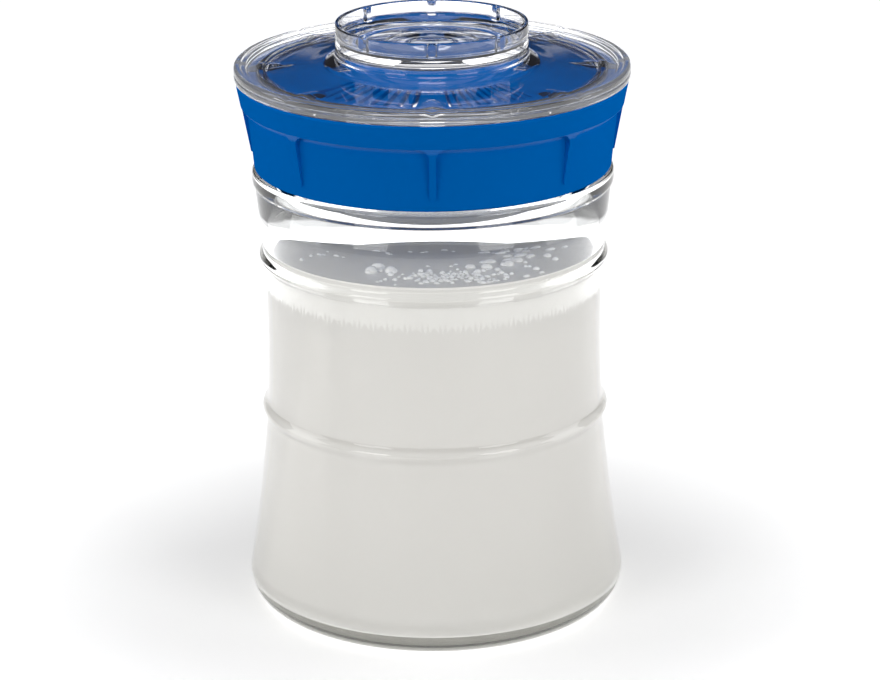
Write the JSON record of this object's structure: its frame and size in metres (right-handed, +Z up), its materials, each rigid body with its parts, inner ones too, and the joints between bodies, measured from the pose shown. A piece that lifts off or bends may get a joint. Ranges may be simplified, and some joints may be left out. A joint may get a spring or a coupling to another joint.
{
  "type": "kefir fermenting jar",
  "caption": "Waisted glass jar of kefir with a blue screw-on strainer lid and a clear lid with a raised knob ring.",
  "frame": {"origin": "centre of the jar's foot, on the surface that it stands on", "axes": "+Z up along the jar's axis; -Y towards the front, between the coarse and the fine strainer slots"},
  "size_m": [0.1122, 0.1122, 0.1719],
  "materials": {
    "jar_glass": "clear, smooth",
    "kefir": "smooth liquid",
    "blue_plastic": "satin",
    "clear_plastic": "clear, smooth"
  },
  "bodies": {
    "root": {"glass_jar": "jar_glass", "kefir": "kefir", "strainer_lid": "blue_plastic", "top_lid": "clear_plastic"}
  },
  "joints": []
}
